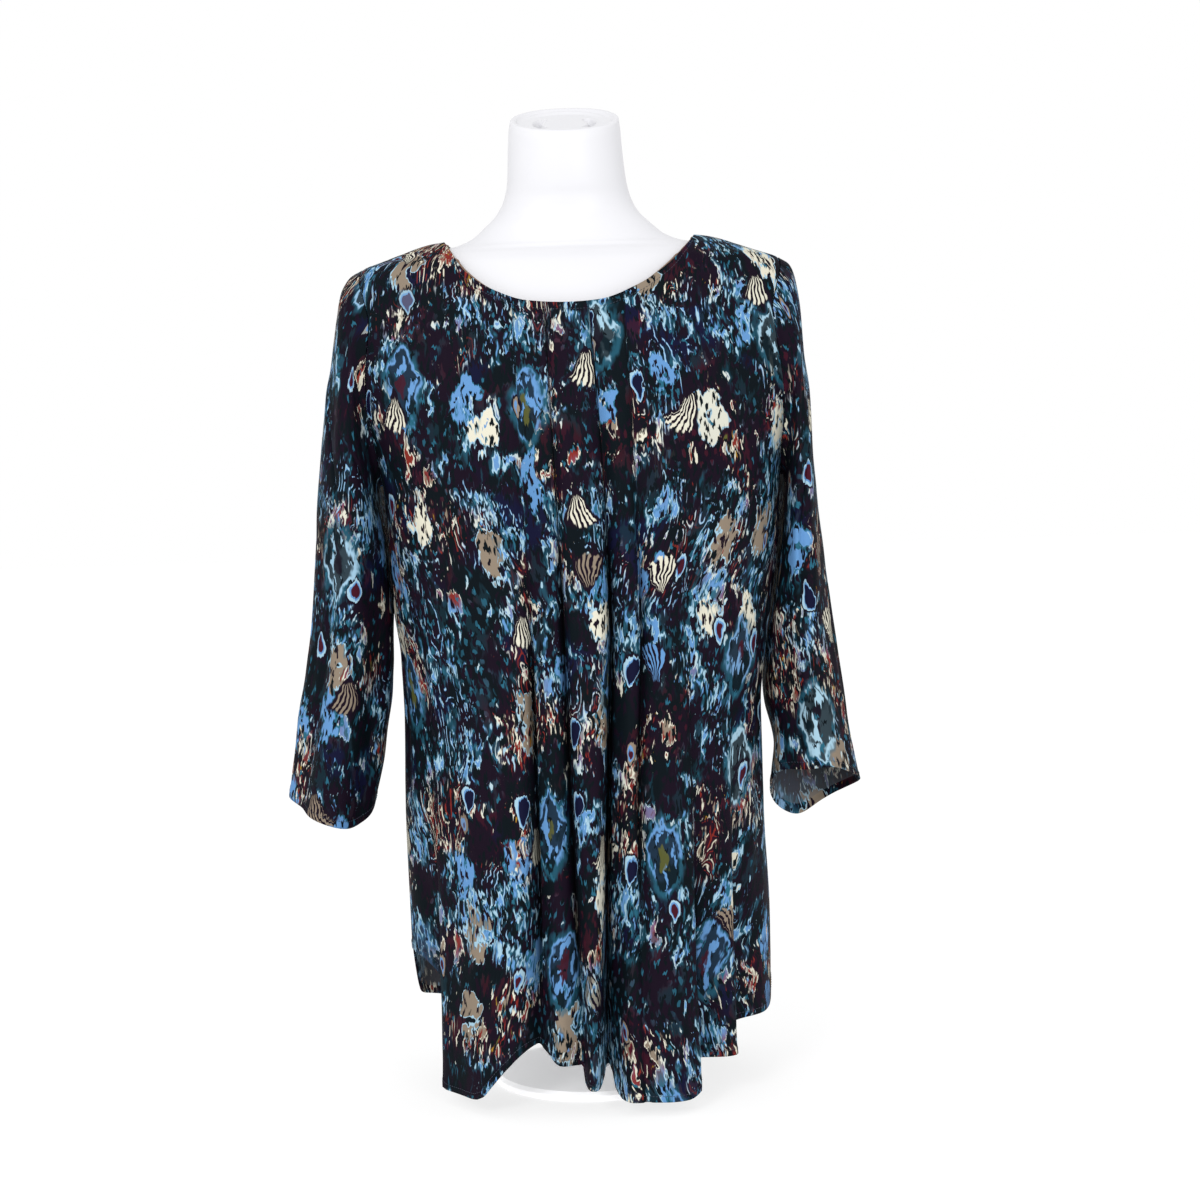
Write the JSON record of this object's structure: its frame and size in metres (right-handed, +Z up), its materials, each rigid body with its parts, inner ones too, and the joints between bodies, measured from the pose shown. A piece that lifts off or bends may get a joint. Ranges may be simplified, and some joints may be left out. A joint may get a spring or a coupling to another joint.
{
  "type": "blouse on torso dress form",
  "caption": "Long tunic blouse with scoop neck, neckline pleats and three-quarter sleeves, shown on a limbless torso dress form with a base plate.",
  "frame": {"origin": "middle of the underside of the dress form's base plate, on the surface that it stands on", "axes": "+Z up, the wearer's front faces -Y, +X to the right of someone who looks at the front"},
  "size_m": [0.5187, 0.288, 0.8857],
  "materials": {
    "printed_cloth": "soft printed drapery cloth",
    "facing_cloth": "wrong side of the printed cloth",
    "form_shell": "satin white",
    "post_metal": "satin",
    "base_plate": "satin white"
  },
  "bodies": {
    "root": {"front": "printed_cloth", "back": "printed_cloth", "sleeve_left": "printed_cloth", "sleeve_right": "printed_cloth", "neck_facing": "facing_cloth", "form_torso": "form_shell", "form_post": "post_metal", "form_base": "base_plate"}
  },
  "joints": []
}
